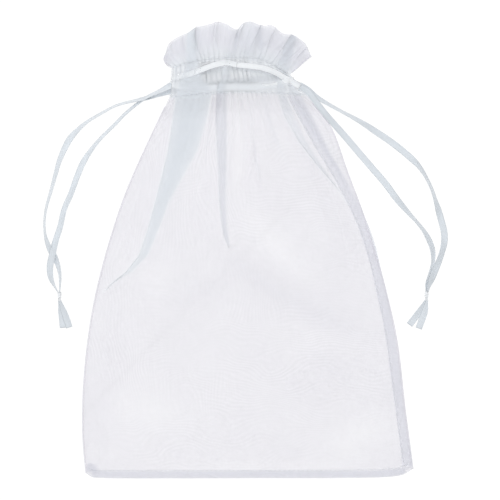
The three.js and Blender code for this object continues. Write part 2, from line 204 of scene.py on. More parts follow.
# Flat folds in the two leaves, from the header down: how much bluer the cloth looks where its three plies lie
# close together, then y and the two borders in x.
FRONT_FOLDS = [
    (1.0, [
        (118, -33.5, -30), (112, -36, -30), (106, -38, -31), (100, -41.5, -27), (94.5, -43.8, -21.5),
        (77, -46.5, -25.5), (61, -49, -30.4), (45, -53, -39.5), (31, -56.5, -47.4), (15, -61, -53.6),
        (0, -66, -60), (-10, -74, -69.5), (-17, -83, -80.5), (-23, -88, -87.5),
    ]),
    (0.5, [
        (118, -8.4, -6.4), (112, -10, -8), (106, -14.5, -12), (94.5, -19.4, -13.6), (85, -19.8, -12.9),
        (61, -19.2, -13.2), (45, -18.4, -13.2), (30, -17.8, -13.4), (18, -16.6, -12.8), (9, -15, -11.4),
        (3, -12.6, -11),
    ]),
    (0.7, [
        (118, 22.5, 27), (112, 18.6, 24), (106, 16.5, 21), (94.5, 17.2, 22.8), (80, 21.5, 27.5), (65, 30, 35),
        (50, 42, 45), (38, 53, 54.2), (28, 60, 60.2),
    ]),
]
BACK_FOLDS = [
    (1.0, [
        (118, -33, -29), (106, -37, -32), (99, -39, -29), (94.5, -41, -24), (77, -42.6, -27.8),
        (61, -46, -33.4), (45, -50, -41.5), (31, -54.4, -49), (15, -58.8, -55), (0, -63.4, -60.2),
        (-12, -73, -72),
    ]),
    (0.5, [
        (118, -6.5, -2), (106, -12, -10), (94.5, -15, -12.6), (61, -14.5, -12.4), (35, -13.6, -12.7),
        (22, -13, -12.9),
    ]),
    (0.8, [(118, 4, 8), (106, 5, 7), (94.5, 7.4, 9.2), (75, 13.2, 14.8), (60, 19.5, 20.6), (48, 25, 25.1)]),
    (0.7, [
        (118, 24, 27), (106, 20, 24), (94.5, 25.2, 31.6), (80, 32.5, 39.4), (65, 42, 47), (50, 51.6, 54.6),
        (35, 60.4, 61.2),
    ]),
]
# A flat fold's gap between plies, the radius it is rounded to, its step up and run out, and its least width.
FOLD_GAP = 0.45
FOLD_ROUND = 1.1
FOLD_STEP = 0.6
FOLD_RUN = 7.0
FOLD_LEAST = 0.05
FOLD_SAMPLES = 2400
# Where the casing and the ruffle start in the fold tables, and how much of the tables the ruffle takes up.
FOLDS_CASING = 94.5
FOLDS_RUFFLE = 106.5
FOLDS_SPAN = 11.5

# How far each ribbon shows through the front casing, below 0 where the cloth hides it, and where that fades.
RIBBON_SHOWS = 0.92
LOW_RIBBON_SHOWS = -1.2
RIBBONS_SHOWING = [(RIGHT_LOOP_FRONT, RIBBON_SHOWS), (LEFT_LOOP_FRONT, LOW_RIBBON_SHOWS)]
RIBBON_FADES = (-46.0, -30.0)
RIBBON_REACH = 2.6
LEAST_TONE = 1 - RIBBON_SHOWS

# Heights of the front leaf, over its borders, at the neck and where it stands up, and of the back leaf.
FRONT_EDGE = 2.0
FRONT_PUFF = 6.2
FRONT_HEADER = 6.9
FRONT_ARCH = 6.0
BACK_FLOOR = 0.35
BACK_HEADER = 2.5
LEAST_HEIGHT = 0.12
PLY_HEIGHT = 0.3
# Half the room between a leaf's plies in the casing and at the top of the ruffle.
CASING_ROOM = 0.45
RUFFLE_ROOM = 0.2
# The top of each ruffle: how far it flares up, how deep its waves are, and how much shorter it is.
FLARE = {"front": 1.6, "back": 0.2}
FAN = {"front": 0.75, "back": 0.9}
SHORTER = {"front": 0.0, "back": 0.9}
# The gathers of each leaf's outer ply and of its facing: how high they stand and how far they lean over.
GATHERS = {"front": [(0.42, 0.006), (1.3, 0.013)], "back": [(0.85, 0.0125), (0.9, 0.0125)]}
GATHER_WAVES = 25
# How far down the body a gather dies out, from the shortest to nearly the longest.
GATHER_LEAST = 7.0
GATHER_MOST = 47.0
# The share of the way up the body where each leaf starts to rise to its casing, and where its plies part.
FRONT_RISE = 0.93
BACK_RISE = 0.95
PLIES_PART = 0.97

# Soft rolls in the front leaf: a line, its width and its height.
SOFT_FOLDS = [
    ([(-34, 4), (-8, -10), (20, -28), (52, -43), (88, -54)], 7.0, -0.9),
    ([(-12, 32), (2, 16), (26, -10), (48, -22)], 8.0, 0.8),
    ([(0, 88), (2.4, 61), (9, 37)], 1.6, 0.45),
    ([(-60, -34), (-30, -18), (-4, -12)], 9.0, 0.6),
    ([(28, 60), (46, 20), (62, -24)], 7.0, 0.7),
]

# Where the front leaf looks denser, above 0, or more open: a line, its width and how much. The narrow lines
# by the pleats are the weave lying closer or more open; the broad bands make the cloth darker or lighter, and
# those along the soft rolls are painted shade, above 0, and painted light, below 0.
WEAVE_TONES_AND_PAINTED_SHADE = [
    ([(-7, 92), (-5.5, 70), (-5.5, 48), (-7, 26)], 4.5, -0.5),
    ([(-15.6, 92), (-15.2, 60), (-14, 28), (-13.6, 4)], 2.0, 0.35),
    ([(-13.8, 24), (-14.4, 9), (-11, 4.5), (-8.6, 8)], 1.2, 0.7),
    ([(2, 84), (3.4, 61), (9.4, 36)], 1.0, 0.9),
    ([(-2, 40), (4, 58), (5, 70)], 0.9, 0.5),
    ([(7, 92), (13, 74), (21, 57)], 2.4, 0.5),
    ([(13, 92), (26, 71), (42, 46)], 2.4, 0.5),
    ([(19, 92), (31, 70), (44, 52)], 1.6, -0.45),
    # These three bands lie along the first, second and fourth soft rolls: painted shade where above 0,
    # painted light where below 0.
    ([(-34, 6), (-8, -8), (20, -28), (52, -43), (88, -56)], 7.0, 0.65),
    ([(-12, 34), (2, 20), (26, -6), (50, -18)], 8.0, -0.5),
    ([(-64, -40), (-34, -24), (-4, -16)], 10.0, 0.4),
    ([(-84, -10), (-60, -16), (-40, -44)], 9.0, -0.2),
    ([(-94, -104), (-60, -96), (-30, -112)], 13.0, -0.5),
    ([(44, -122), (66, -112), (90, -98)], 12.0, -0.5),
    ([(-60, -129), (0, -131), (70, -129)], 3.0, -0.4),
    ([(20, -84), (50, -72), (84, -70)], 9.0, 0.3),
    # This band lies along the fifth soft roll: painted shade.
    ([(30, 62), (48, 34), (62, 2)], 7.0, 0.4),
    ([(-80, 0), (-62, 40), (-52, 74)], 5.0, 0.25),
    ([(-36, 93), (-38, 74), (-46, 48), (-58, 16)], 6.0, 0.35),
    ([(-96, -128), (-82, -60), (-86, -20)], 8.0, 0.2),
]

# Where the ruffle's plies lie over each other in broad bands: a line up through it, its width and how much.
RUFFLE_SHADES = [
    ([(-0.5, 95), (0.3, 120), (0.8, 155)], 8.0, 1.0),
    ([(9, 95), (20, 116), (30, 134), (40, 152)], 5.0, 0.4),
    ([(-34.5, 95), (-32, 120), (-30, 155)], 2.6, 0.7),
]
RUFFLE_TONE = 1.2
SHADE_TONE = 1.0
SHADE_TINT = 0.5

# The bag's middle, where the bottom seam allowance and the loops inside the casings are parted.
MIDDLE_X = -6.0

# The turned cloth at the sides: how far it bulges, laps over the leaves, and tucks under them.
EDGE_BULGE = 0.6
EDGE_FLAP = 0.7
EDGE_TUCK = 0.12

# The seam allowances: their plies and the gap between them, their heights, and where the bottom one lies.
ALLOWANCE_PLIES = 4
STRIP_GAP = 0.24
STRIP_TINT = 0.6
BAND_HEIGHT = 0.75
BOTTOM_HEIGHT = 0.7
BOTTOM_SEAM = (-95.0, 95.5)
BOTTOM_ALLOWANCE = 4.4
BOTTOM_INSET = 0.15
BOTTOM_TONE = 1.3
SEAM_ROW = 3
RIGHT_SEAM_INSET = 0.9

# Little folds in the bottom corners: name, side of the bag, plies, and their two borders.
CORNER_HEIGHT = 1.0
CORNER_FOLDS = [
    (
        "left_corner_fold", "left", 5,
        [(-98.2, -134.2), (-95, -134.6), (-91.5, -134.8)], [(-98.4, -130.4), (-95, -128.8), (-91.8, -131)],
    ),
    (
        "right_corner_fold", "right", 3,
        [(91, -136.6), (95.4, -133.6), (99.6, -131.6)], [(91.8, -135.2), (95.8, -132), (99.4, -130.2)],
    ),
    (
        "right_corner_crease", "right", 2,
        [(84.6, -131.7), (86.4, -133.6), (88, -136.2)], [(85.4, -131.5), (87.2, -133.4), (88.9, -136)],
    ),
]

# The inner and outer border of the right seam's allowance: y, inner x, outer x.
RIGHT_BAND = [
    (94, 23.5, 31.5), (80, 30.8, 38.8), (65, 39, 46.6), (52, 47.2, 54.6), (39, 54.6, 62), (25, 61.8, 69.2),
    (10, 68.2, 75.4), (-5, 72.8, 79.6), (-20, 76.6, 83), (-50, 82.8, 89.2), (-82, 87.2, 93.4), (-110, 91, 97),
    (-131, 93.7, 100),
]

# Camera and studio.
CAMERA_LENS = 200.0
SENSOR_WIDTH = 36.0
CAMERA_PLACE = (1.2, 0.3, 1689.0)
FLOOR_HALF = 3000.0
FLOOR_LEVEL = -0.05
FLOOR_GLOW = 0.92
WORLD_STRENGTH = 0.55
COOL_WHITE = (0.955, 0.978, 1.0)
# Lamps: name, place in metres, size in metres and power in watts.
LAMPS = [("overhead", (0.2, 0.3, 2.2), 1.8, 17.6), ("side", (-0.9, 0.7, 0.7), 0.5, 2.9)]


# ---------------------------------------------------------------- numbers


def run_along(line):
    """How far along a line each of its points is."""
    return np.concatenate([[0], np.cumsum(np.linalg.norm(np.diff(line, axis=0), axis=1))])


def unit(vectors):
    """Vectors along the last axis, each made 1 long."""
    return vectors / np.maximum(np.linalg.norm(vectors, axis=-1, keepdims=True), TINY)


def smooth_line(points, samples=500):
    """A centripetal spline through the points, as evenly spaced samples."""
    p = np.array(points, float)
    gaps = np.sqrt(np.linalg.norm(np.diff(p, axis=0)[:, :2], axis=1))
    knots = np.concatenate([[0], np.cumsum(gaps)])
    slopes = np.diff(p, axis=0) / gaps[:, None]
    tangents = np.empty_like(p)
    tangents[0], tangents[-1] = slopes[0], slopes[-1]
    weighed = slopes[:-1] * gaps[1:, None] + slopes[1:] * gaps[:-1, None]
    tangents[1:-1] = weighed / (gaps[:-1] + gaps[1:])[:, None]
    at = np.linspace(0, knots[-1], samples * 3)
    i = np.clip(np.searchsorted(knots, at, side="right") - 1, 0, len(gaps) - 1)
    h = gaps[i][:, None]
    s = ((at - knots[i]) / gaps[i])[:, None]
    line = (2 * s**3 - 3 * s**2 + 1) * p[i] + (s**3 - 2 * s**2 + s) * h * tangents[i]
    line += (3 * s**2 - 2 * s**3) * p[i + 1] + (s**3 - s**2) * h * tangents[i + 1]
    run = run_along(line[:, :2])
    even = np.linspace(0, run[-1], samples)
    return np.stack([np.interp(even, run, line[:, k]) for k in range(line.shape[1])], axis=1)


def along(line, share):
    """The places at shares from 0 to 1 of an evenly spaced line."""
    at = np.asarray(share, float) * (len(line) - 1)
    index = np.arange(len(line))
    return np.stack([np.interp(at, index, line[:, k]) for k in range(line.shape[1])], axis=-1)


def patch(low, high, left, right, u, t):
    """Places in plan inside four edges: u from left to right, t from low to high."""
    t = np.broadcast_to(t, u.shape)[..., None]
    w = u[..., None]
    place = along(low, u) * (1 - t) + along(high, u) * t
    place += along(left, t[..., 0]) * (1 - w) + along(right, t[..., 0]) * w
    corners = (low[0] * (1 - w) + low[-1] * w) * (1 - t) + (high[0] * (1 - w) + high[-1] * w) * t
    return place - corners


def smooth_step(value):
    """A rise from 0 to 1 that starts and ends level."""
    held = np.clip(value, 0, 1)
    return held * held * (3 - 2 * held)


def noise(x, y, seed):
    """Smooth noise from -1 to 1 with features about 1 across."""
    size = 64
    table = np.random.default_rng(seed).uniform(-1, 1, (size, size))
    x, y = np.broadcast_arrays(np.asarray(x, float) + 17.3, np.asarray(y, float) + 31.7)
    ix, iy = np.floor(x).astype(int), np.floor(y).astype(int)
    fx, fy = smooth_step(x - ix), smooth_step(y - iy)
    low = table[ix % size, iy % size] * (1 - fx) + table[(ix + 1) % size, iy % size] * fx
    high = table[ix % size, (iy + 1) % size] * (1 - fx) + table[(ix + 1) % size, (iy + 1) % size] * fx
    return low * (1 - fy) + high * fy


def soften(values, radius):
    """A running average of a row of values, with its ends held."""
    reach = max(int(round(radius * 3)), 1)
    kernel = np.exp(-0.5 * (np.arange(-reach, reach + 1) / radius) ** 2)
    padded = np.concatenate([np.repeat(values[:1], reach), values, np.repeat(values[-1:], reach)])
    return np.convolve(padded, kernel / kernel.sum(), mode="valid")


# ---------------------------------------------------------------- meshes


def new_object(name, vertices, faces, material, normals=None, uv=None, values=None):
    """A smooth mesh object from vertices in millimetres. values are named numbers kept at each vertex."""
    mesh = bpy.data.meshes.new(name)
    mesh.from_pydata((np.asarray(vertices) * MM).tolist(), [], faces)
    mesh.validate()
    mesh.shade_smooth()
    if uv is not None:
        layer = mesh.uv_layers.new(name="cloth")
        corner = np.zeros(len(mesh.loops), int)
        mesh.loops.foreach_get("vertex_index", corner)
        layer.data.foreach_set("uv", (np.asarray(uv) * MM)[corner].ravel())
    for label, value in (values or {}).items():
        attribute = mesh.attributes.new(label, "FLOAT", "POINT")
        attribute.data.foreach_set("value", np.asarray(value, np.float32).ravel())
    if normals is not None:
        mesh.normals_split_custom_set_from_vertices(np.asarray(normals).tolist())
    mesh.materials.append(material)
    obj = bpy.data.objects.new(name, mesh)
    bpy.context.scene.collection.objects.link(obj)
    return obj


def grid_faces(rows, columns):
    """Quads of a grid of vertices, facing up where the rows run up and the columns to the right."""
    at = np.arange(rows * columns).reshape(rows, columns)
    quads = np.stack([at[:-1, :-1], at[:-1, 1:], at[1:, 1:], at[1:, :-1]], axis=-1)
    return quads.reshape(-1, 4).tolist()


def tube_faces(first, rings, sides):
    """Faces round rings of vertices from number first on, with an end face at each end."""
    at = first + np.arange(rings * sides).reshape(rings, sides)
    following = np.roll(at, -1, axis=1)
    quads = np.stack([at[:-1], following[:-1], following[1:], at[1:]], axis=-1).reshape(-1, 4).tolist()
    return [*quads, at[0][::-1].tolist(), at[-1].tolist()]


def grid_normals(places):
    """The upward normal at each place of a grid."""
    return unit(np.cross(np.gradient(places, axis=1), np.gradient(places, axis=0)))


def grid_object(
    name, places, material, uv, rows=ALL, columns=ALL, tone=1.0, folded=0.0, fuzz=0.0, thickest=THICKEST,
):
    """A sheet from a grid of places, or from some of its rows and columns with the whole grid's normals.
    Where the cloth stands steeply more of it lies over each spot, and bunching says how much.
    fuzz evens out the shading of its steep sides, as loose fibres do."""
    normal = grid_normals(places)
    steepness = 1 / np.maximum(np.abs(normal[..., 2]), STEEPEST)
    # tone scales it; on the front leaf's body tone also carries painted shade and light along the soft rolls.
    bunching = np.clip(steepness, 1, thickest) * tone
    folded = np.broadcast_to(folded, bunching.shape)
    normal = unit(normal + np.sign(normal[..., 2:] + TINY) * [0.0, 0.0, fuzz])
    part, normal, bunching, folded, uv = (x[rows, columns] for x in (places, normal, bunching, folded, uv))
    values = {"bunching": bunching, "folded": folded}
    faces = grid_faces(*part.shape[:2])
    vertices, normals, uv = part.reshape(-1, 3), normal.reshape(-1, 3), uv.reshape(-1, 2)
    return new_object(name, vertices, faces, material, normals, uv, values)


# ---------------------------------------------------------------- materials


def node_material(name):
    """A new material, with its node tree and its main shader."""
    material = bpy.data.materials.new(name)
    material.use_nodes = True
    tree = material.node_tree
    return material, tree, tree.nodes["Principled BSDF"]


def is_output(value):
    """Whether a value is another node's output."""
    return isinstance(value, bpy.types.NodeSocket)


def fill(tree, node, inputs):
    """Gives a node's inputs their values: each a constant, or another node's output to link."""
    for label, value in inputs.items():
        if is_output(value):
            tree.links.new(value, node.inputs[label])
        else:
            node.inputs[label].default_value = value


def add_node(tree, kind, inputs, **settings):
    """A new shader node with its settings and its inputs."""
    node = tree.nodes.new(f"ShaderNode{kind}")
    for setting, value in settings.items():
        setattr(node, setting, value)
    fill(tree, node, inputs)
    return node


def math_node(tree, operation, *values):
    """One sum on constants or other nodes' outputs."""
    return add_node(tree, "Math", dict(enumerate(values)), operation=operation).outputs[0]


def plus(tree, first, second):
    return math_node(tree, "ADD", first, second)


def minus(tree, first, second):
    return math_node(tree, "SUBTRACT", first, second)


def times(tree, first, second):
    return math_node(tree, "MULTIPLY", first, second)


def wave_node(tree, turns):
    """A sine wave, from how many turns of it have gone by."""
    return math_node(tree, "SINE", times(tree, turns, 2 * math.pi))


def spread(tree, value, middle, strength):
    """How far a value is from its middle, made stronger or weaker."""
    return times(tree, minus(tree, value, middle), strength)


def split_axes(tree, vector):
    """The x, y and z of a vector, as outputs."""
    return add_node(tree, "SeparateXYZ", {0: vector}).outputs


def texture_noise(tree, vector, stretch, detail, seat=(0, 0, 0)):
    """Smooth noise from 0 to 1. stretch is its features per metre each way, and seat moves it elsewhere."""
    mapping = add_node(tree, "Mapping", {"Vector": vector, "Scale": stretch, "Location": seat})
    inputs = {"Vector": mapping.outputs[0], "Scale": 1.0, "Detail": detail}
    return add_node(tree, "TexNoise", inputs).outputs["Fac"]


def mix_colours(tree, share, first, second, blend_type="MIX"):
    """The second colour mixed into the first. A colour is three numbers or another node's output."""
    first, second = (value if is_output(value) else (*value, 1) for value in (first, second))
    inputs = {"Factor": share, "A": first, "B": second}
    return add_node(tree, "Mix", inputs, data_type="RGBA", blend_type=blend_type).outputs["Result"]


def set_bump(tree, shader, height, strength, distance):
    """Fine relief from a height, on the shader's normal."""
    bump = add_node(tree, "Bump", {"Height": height, "Strength": strength, "Distance": distance})
    fill(tree, shader, {"Normal": bump.outputs[0]})


def mix_shaders(tree, share, first, second):
    """A share of the second shader mixed into the first."""
    return add_node(tree, "MixShader", {"Fac": share, 1: first, 2: second}).outputs[0]


def see_through(tree, shader, colour, glow):
    """The shader with a share of light that comes through from behind."""
    through = add_node(tree, "BsdfTranslucent", {"Color": colour})
    return mix_shaders(tree, glow, shader.outputs[0], through.outputs[0])


def show(tree, surface_shader):
    """Makes a shader the one the material shows."""
    fill(tree, tree.nodes["Material Output"], {"Surface": surface_shader})


def weave(tree, axes, pitch):
    """Threads both ways: 1 on a thread, 0 in a hole, from cloth coordinates in metres."""
    per_metre = 1 / pitch
    ways = [wave_node(tree, times(tree, axis, per_metre)) for axis in (axes[0], axes[1])]
    return math_node(tree, "MAXIMUM", *[math_node(tree, "ABSOLUTE", way) for way in ways])


def ripple_lines(tree, place, axis, per_metre, stretch, wander, seat):
    """Fine ripples along one axis, bent by slow noise."""
    slow = texture_noise(tree, place, stretch, 2.5, (seat, seat, 0))
    straight = times(tree, split_axes(tree, place)[axis], per_metre)
    return wave_node(tree, plus(tree, straight, times(tree, slow, wander)))


def patches(tree, place, seat, low, high, tilt=0.0):
    """Broad patches from 0 to 1, where slow noise with a tilt added rises from low to high."""
    where = plus(tree, texture_noise(tree, place, (16, 20, 0), 2.0, seat), tilt)
    return add_node(tree, "MapRange", {"Value": where, "From Min": low, "From Max": high}).outputs[0]


def moire(tree, place):
    """Faint ripples, about 2 mm apart, that two fine weaves make where one lies over the other."""
    level = ripple_lines(tree, place, 1, 430, (16, 26, 0), 22, 0)
    upright = ripple_lines(tree, place, 0, 400, (30, 12, 0), 18, 5)
    axes = split_axes(tree, place)
    lower_right = minus(tree, times(tree, axes[0], 1.7), axes[1])
    level_share = patches(tree, place, (1, 2, 0), 0.36, 0.56, lower_right)
    upright_share = minus(tree, 1.0, level_share)
    strength = plus(tree, patches(tree, place, (6, 4, 0), 0.42, 0.68), 0.25)
    both = plus(tree, times(tree, level, level_share), times(tree, upright, upright_share))
    return times(tree, both, strength)


def vertex_value(tree, name):
    """A number kept at each vertex of the mesh."""
    return add_node(tree, "Attribute", {}, attribute_name=name).outputs["Fac"]


def cloth_cover(tree, threads, place, folded, open_share, ripple):
    """The share of light that the cloth stops: more on its threads and where it is bunched or cloudy."""
    closed = minus(tree, 1.0, math_node(tree, "POWER", open_share, vertex_value(tree, "bunching")))
    ripple_here = times(tree, minus(tree, 1.0, folded), ripple)
    parts = [
        spread(tree, threads, 0.82, 0.3),
        times(tree, moire(tree, place), ripple_here),
        spread(tree, texture_noise(tree, place, (26, 30, 30), 4.0), 0.5, 0.34),
    ]
    for part in parts:
        closed = plus(tree, closed, times(tree, part, closed))
    closed.node.use_clamp = True
    return closed


def organza_material(name, colour, folded_colour, open_share, ripple, glow):
    """Sheer cloth. open_share is how much light one flat ply lets by; bunched cloth lets less by.
    glow is the share of its threads' light that comes through from behind."""
    material, tree, shader = node_material(name)
    coordinates = add_node(tree, "TexCoord", {}).outputs
    threads = weave(tree, split_axes(tree, coordinates["UV"]), WEAVE_PITCH)
    folded = vertex_value(tree, "folded")
    layered = mix_colours(tree, folded, colour, folded_colour)
    holes = minus(tree, 1.0, threads)
    tint = mix_colours(tree, holes, layered, (0.94, 0.94, 0.94), "MULTIPLY")
    fill(tree, shader, {
        "Base Color": tint, "Roughness": 0.55, "Specular IOR Level": 0.3,
        "Sheen Weight": 0.35, "Sheen Roughness": 0.4,
    })
    set_bump(tree, shader, threads, 0.15, 0.00005)
    cloth = see_through(tree, shader, tint, glow)
    closed = cloth_cover(tree, threads, coordinates["Object"], folded, open_share, ripple)
    hole = add_node(tree, "BsdfTransparent", {}).outputs[0]
    show(tree, mix_shaders(tree, closed, hole, cloth))
    return material


def satin_material(name, colour, gloss, glow):
    """Woven satin ribbon with fine floats along it. glow is the share of its light that comes through it."""
    material, tree, shader = node_material(name)
    uv = add_node(tree, "TexCoord", {}).outputs["UV"]
    axes = split_axes(tree, uv)
    floats = wave_node(tree, times(tree, axes[0], 1 / FLOAT_PITCH))
    picks = wave_node(tree, times(tree, axes[1], 1 / PICK_PITCH))
    grain = plus(tree, times(tree, floats, 0.6), times(tree, picks, 0.4))
    broad = texture_noise(tree, uv, (400, 90, 1), 3.0)
    darker, lighter = [0.9 * c for c in colour], [min(1.07 * c, 1) for c in colour]
    tint = mix_colours(tree, broad, darker, lighter)
    rough = plus(tree, times(tree, broad, 0.2), 0.26)
    fill(tree, shader, {
        "Base Color": tint, "Roughness": rough, "Specular IOR Level": gloss,
        "Sheen Weight": 0.3, "Anisotropic": 0.5,
    })
    set_bump(tree, shader, grain, 0.18, 0.00004)
    show(tree, see_through(tree, shader, tint, glow))
    return material


def thread_material(name, colour):
    """Twisted sewing thread."""
    material, tree, shader = node_material(name)
    place = add_node(tree, "TexCoord", {}).outputs["Object"]
    wave = add_node(tree, "TexWave", {"Vector": place, "Scale": 900}, bands_direction="DIAGONAL")
    twist = wave.outputs["Fac"]
    tint = mix_colours(tree, twist, [0.82 * c for c in colour], colour)
    rough = plus(tree, times(tree, twist, 0.15), 0.55)
    fill(tree, shader, {"Base Color": tint, "Roughness": rough, "Sheen Weight": 0.4})
    set_bump(tree, shader, twist, 0.5, 0.00006)
    return material


# ---------------------------------------------------------------- camera, light and floor


def make_camera():
    """A long lens that looks straight down on the bag."""
    data = bpy.data.cameras.new("camera")
    data.lens = CAMERA_LENS
    data.sensor_width = SENSOR_WIDTH
    camera = bpy.data.objects.new("camera", data)
    camera.location = Vector(CAMERA_PLACE) * MM
    bpy.context.scene.collection.objects.link(camera)
    bpy.context.scene.camera = camera


def make_lamp(name, place, size, power):
    """A soft square lamp that points at the middle of the floor."""
    lamp = bpy.data.lights.new(name, "AREA")
    lamp.size = size
    lamp.energy = power
    lamp.color = COOL_WHITE
    holder = bpy.data.objects.new(name, lamp)
    holder.location = place
    holder.rotation_euler = (-Vector(place)).to_track_quat("-Z", "Y").to_euler()
    bpy.context.scene.collection.objects.link(holder)


def make_studio():
    """A white floor that glows a little, a wide soft lamp above and a weaker one from the upper left."""
    scene = bpy.context.scene
    scene.view_settings.view_transform = "Standard"
    scene.cycles.transparent_max_bounces = 32
    scene.cycles.max_bounces = 16
    scene.cycles.diffuse_bounces = 8
    world = bpy.data.worlds.new("studio")
    world.use_nodes = True
    background = world.node_tree.nodes["Background"]
    fill(world.node_tree, background, {"Color": (*COOL_WHITE, 1), "Strength": WORLD_STRENGTH})
    scene.world = world
    for lamp in LAMPS:
        make_lamp(*lamp)
    material, tree, shader = node_material("floor_white")
    fill(tree, shader, {
        "Base Color": (0.15, 0.15, 0.15, 1), "Roughness": 1.0, "Specular IOR Level": 0.0,
        "Emission Color": (1, 1, 1, 1), "Emission Strength": FLOOR_GLOW,
    })
    corners = [(x * FLOOR_HALF, y * FLOOR_HALF, FLOOR_LEVEL) for x, y in ((-1, -1), (1, -1), (1, 1), (-1, 1))]
    new_object("floor", corners, [(0, 1, 2, 3)], material)


# ---------------------------------------------------------------- ribbons


def ribbon_rings(route, step=RIBBON_STEP):
    """Rings of a flat ribbon along a route of x, y, height and twist.
    The ribbon keeps clear of the floor as it turns on edge."""
    line = smooth_line(route, max(int(route_length(route) / step), 8))
    centre = line[:, :3].copy()
    twist = np.radians(line[:, 3])
    reach_down = RIBBON_WIDTH / 2 * np.abs(np.sin(twist)) + RIBBON_THICKNESS / 2
    centre[:, 2] = np.maximum(centre[:, 2], reach_down + RIBBON_CLEARANCE)
    way = unit(np.gradient(centre, axis=0))
    return centre, way, unit(np.cross(way, UP)), twist


def route_length(route):
    """The length of a route, straight from point to point."""
    return float(run_along(np.array(route, float)[:, :3])[-1])


def ribbon_mesh(name, centre, way, level, twist, material, width=RIBBON_WIDTH):
    """A flat closed ribbon with a slightly cupped face, a rolled edge and square-cut ends."""
    face = np.cross(level, way)
    across = level * np.cos(twist)[:, None] + face * np.sin(twist)[:, None]
    up = np.cross(across, way)
    profile = np.linspace(-1, 1, 9)
    cup = RIBBON_CUP * (profile**2 - 0.4)
    thick = RIBBON_THICKNESS * (0.8 + 0.5 * np.abs(profile) ** 6) / 2
    upper = np.stack([profile, cup + thick], axis=1)
    lower = np.stack([profile, cup - thick], axis=1)
    ring = np.concatenate([upper, lower[::-1]])
    half = np.broadcast_to(width, len(centre))[:, None] / 2
    places = centre[:, None] + across[:, None] * (half * ring[:, 0])[:, :, None]
    places = places + up[:, None] * ring[:, 1][None, :, None]
    faces = [corners[::-1] for corners in tube_faces(0, len(centre), len(ring))]
    run = run_along(centre)[:, None]
    uv = np.stack([half * ring[:, 0], np.repeat(run, len(ring), 1)], -1)
    return new_object(name, places.reshape(-1, 3), faces, material, uv=uv.reshape(-1, 2))


def pinched(centre, knot_end):
    """The ribbon's width along its route, drawn together where its first or last point is in the knot."""
    reach = np.linalg.norm(centre - centre[knot_end], axis=1) / PINCH_REACH
    return RIBBON_WIDTH * (1 - PINCH * np.exp(-(reach**2)))


def make_strand(hand, side, route, material):
    """One free run of ribbon from a casing to its knot."""
    centre, way, level, twist = ribbon_rings(route)
    twist = TWIST_WAY[hand] * twist
    strand = ribbon_mesh(f"{hand}_{side}_ribbon", centre, way, level, twist, material, pinched(centre, -1))
    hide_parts(f"{hand}_{side}_strand")
    return strand, centre


def make_tails(hand, tails, material):
    """The two cut ends of a ribbon beyond its knot, by which casing their strand comes from."""
    pieces = {}
    for side, route in tails.items():
        centre, way, level, twist = ribbon_rings(route, TAIL_STEP)
        name = f"{hand}_{side}_ribbon_tail"
        tail = ribbon_mesh(name, centre, way, level, twist, material, pinched(centre, 0))
        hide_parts(f"{hand}_{side}_tail")
        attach(tail, f"{hand}_drawstring")
        pieces[side] = tail
    return pieces


def make_knot(hand, place, material):
    """An overhand knot pulled tight: the doubled ribbon comes in, goes round itself and on."""
    share = np.linspace(0, 1, 90)
    turn = 2 * math.pi * KNOT_TURNS * smooth_step((share - 0.1) / 0.8)
    radius = KNOT_RADIUS * np.sin(math.pi * np.clip((share - 0.06) / 0.88, 0, 1)) ** 0.6
    x = place[0] + radius * np.cos(turn)
    y = place[1] + KNOT_ABOVE - (KNOT_ABOVE + KNOT_BELOW) * share + 0.5 * radius * np.sin(turn)
    z = KNOT_HEIGHT + 0.85 * radius * np.sin(turn)
    centre = np.stack([x, y, z], axis=1)
    way = unit(np.gradient(centre, axis=0))
    outward = (centre - [place[0], place[1], KNOT_HEIGHT - 0.4]) * [1, 0, 1]
    level = unit(np.cross(way, outward))
    twist = 0.2 * np.sin(2 * turn)
    knot = ribbon_mesh(f"{hand}_ribbon_knot", centre, way, level, twist, material, KNOT_BAND)
    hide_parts(f"{hand}_knot")
    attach(knot, f"{hand}_drawstring")
    return knot


def make_cords(material, knot_satin_painted_light):
    """Both ribbon drawstrings, from where they leave the casings to their knots and cut tails."""
    for hand, routes in STRANDS.items():
        # The knots take the lighter copy of the ribbon's satin: painted light.
        knot = make_knot(hand, KNOTS[hand], knot_satin_painted_light)
        tails = make_tails(hand, TAILS[hand], material)
        for side, route in routes.items():
            strand, centre = make_strand(hand, side, route, material)
            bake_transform(strand)


# ---------------------------------------------------------------- the leaves

BOTTOM = smooth_line(BOTTOM_EDGE)
LOW = smooth_line(CASING_LOW)
HIGH = smooth_line(CASING_HIGH)
TOP = smooth_line(RUFFLE_HIGH)
# Each zone's lower, upper, left and right edge in plan.
ZONES = {
    "body": (BOTTOM, LOW, smooth_line(LEFT_EDGE), smooth_line(RIGHT_EDGE)),
    "casing": (LOW, HIGH, np.linspace(LOW[0], HIGH[0], 50), np.linspace(LOW[-1], HIGH[-1], 50)),
    "ruffle": (HIGH, TOP, smooth_line(RUFFLE_LEFT), np.linspace(HIGH[-1], TOP[-1], 50)),
}


def leaf_rows():
    """The rows of a leaf from the bottom up, over the top and down its facing.
    Each has its zone, its share of the way up the zone, and its ply: 0 outside, 1 for the facing."""
    rows = [("body", t, 0) for t in np.linspace(0, 1, BODY_ROWS, endpoint=False)]
    rows += [("casing", t, 0) for t in np.linspace(0, 1, CASING_ROWS, endpoint=False)]
    rows += [("ruffle", t, 0) for t in np.linspace(0, 1, RUFFLE_ROWS)]
    rows += [("ruffle", t, 1) for t in np.linspace(1, 0, RUFFLE_ROWS)]
    rows += [("casing", t, 1) for t in np.linspace(1, 0, CASING_ROWS)[1:]]
    return rows


